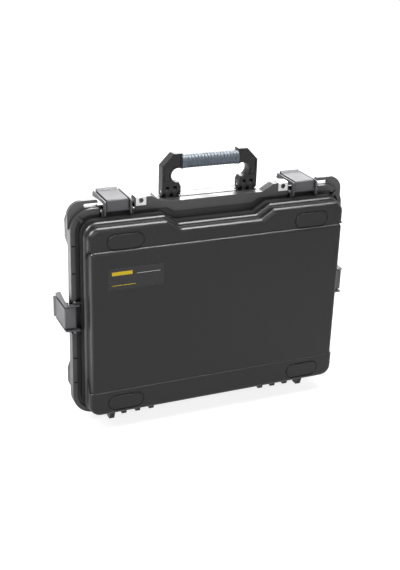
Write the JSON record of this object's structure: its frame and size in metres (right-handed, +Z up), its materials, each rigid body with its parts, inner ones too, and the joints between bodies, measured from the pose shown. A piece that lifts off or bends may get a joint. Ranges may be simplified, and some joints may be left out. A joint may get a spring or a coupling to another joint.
{
  "type": "tool case",
  "caption": "Tough moulded briefcase-style tool case with a hinged lid, cam latches, folding carry handle, padlock holes and strap slots, standing on its hinge side.",
  "frame": {"origin": "on the floor, under the middle of the closed case's box, with the case standing on its hinge side", "axes": "+X to the right seen from the lid, +Y from the lid's front to the base's back, +Z up towards the handle"},
  "size_m": [0.5446, 0.1268, 0.47],
  "materials": {
    "shell_plastic": "fine moulded texture",
    "pad_plastic": "fine moulded texture",
    "lever_plastic": "satin moulded",
    "handle_plastic": "satin moulded",
    "grip_rubber": "satin, ribbed",
    "seal_rubber": "matt",
    "label_film": "gloss",
    "plate_steel": "brushed",
    "pin_steel": "drawn"
  },
  "bodies": {
    "base": {"base_shell": "shell_plastic", "base_pad_top_left": "pad_plastic", "base_pad_top_right": "pad_plastic", "base_pad_bottom_left": "pad_plastic", "base_pad_bottom_right": "pad_plastic", "base_padlock_plate_left": "plate_steel", "base_padlock_plate_right": "plate_steel", "hinge_pin_left": "pin_steel", "hinge_pin_right": "pin_steel", "handle_mount_left": "handle_plastic", "handle_mount_right": "handle_plastic", "handle_mount_screws": "pin_steel"},
    "lid": {"lid_shell": "shell_plastic", "lid_seal": "seal_rubber", "label_plate": "label_film", "lid_pad_top_left": "pad_plastic", "lid_pad_top_right": "pad_plastic", "lid_pad_bottom_left": "pad_plastic", "lid_pad_bottom_right": "pad_plastic", "padlock_plate_left": "plate_steel", "padlock_plate_right": "plate_steel", "latch_pin_top_left": "pin_steel", "latch_pin_top_right": "pin_steel", "latch_pin_side_left": "pin_steel", "latch_pin_side_right": "pin_steel"},
    "handle": {"handle_frame": "handle_plastic", "handle_grip": "grip_rubber", "handle_pin_left": "pin_steel", "handle_pin_right": "pin_steel"},
    "latch_top_left": {"latch_lever_top_left": "lever_plastic"},
    "latch_top_right": {"latch_lever_top_right": "lever_plastic"},
    "latch_side_left": {"latch_lever_side_left": "lever_plastic"},
    "latch_side_right": {"latch_lever_side_right": "lever_plastic"}
  },
  "joints": [
    {"name": "lid_hinge", "type": "hinge", "parent": "base", "child": "lid", "pos_m": [0, -0.009, 0.008], "axis": [1, 0, 0], "range_deg": [0, 100]},
    {"name": "handle_fold", "type": "hinge", "parent": "base", "child": "handle", "pos_m": [0, 0.0078, 0.404], "axis": [1, 0, 0], "range_deg": [0, 90]},
    {"name": "latch_top_left_pivot", "type": "hinge", "parent": "lid", "child": "latch_top_left", "pos_m": [-0.175, -0.018, 0.3885], "axis": [1, 0, 0], "range_deg": [0, 100]},
    {"name": "latch_top_right_pivot", "type": "hinge", "parent": "lid", "child": "latch_top_right", "pos_m": [0.175, -0.018, 0.3885], "axis": [1, 0, 0], "range_deg": [0, 100]},
    {"name": "latch_side_left_pivot", "type": "hinge", "parent": "lid", "child": "latch_side_left", "pos_m": [-0.2505, -0.018, 0.205], "axis": [0, 0, 1], "range_deg": [0, 100]},
    {"name": "latch_side_right_pivot", "type": "hinge", "parent": "lid", "child": "latch_side_right", "pos_m": [0.2505, -0.018, 0.205], "axis": [0, 0, -1], "range_deg": [0, 100]}
  ]
}
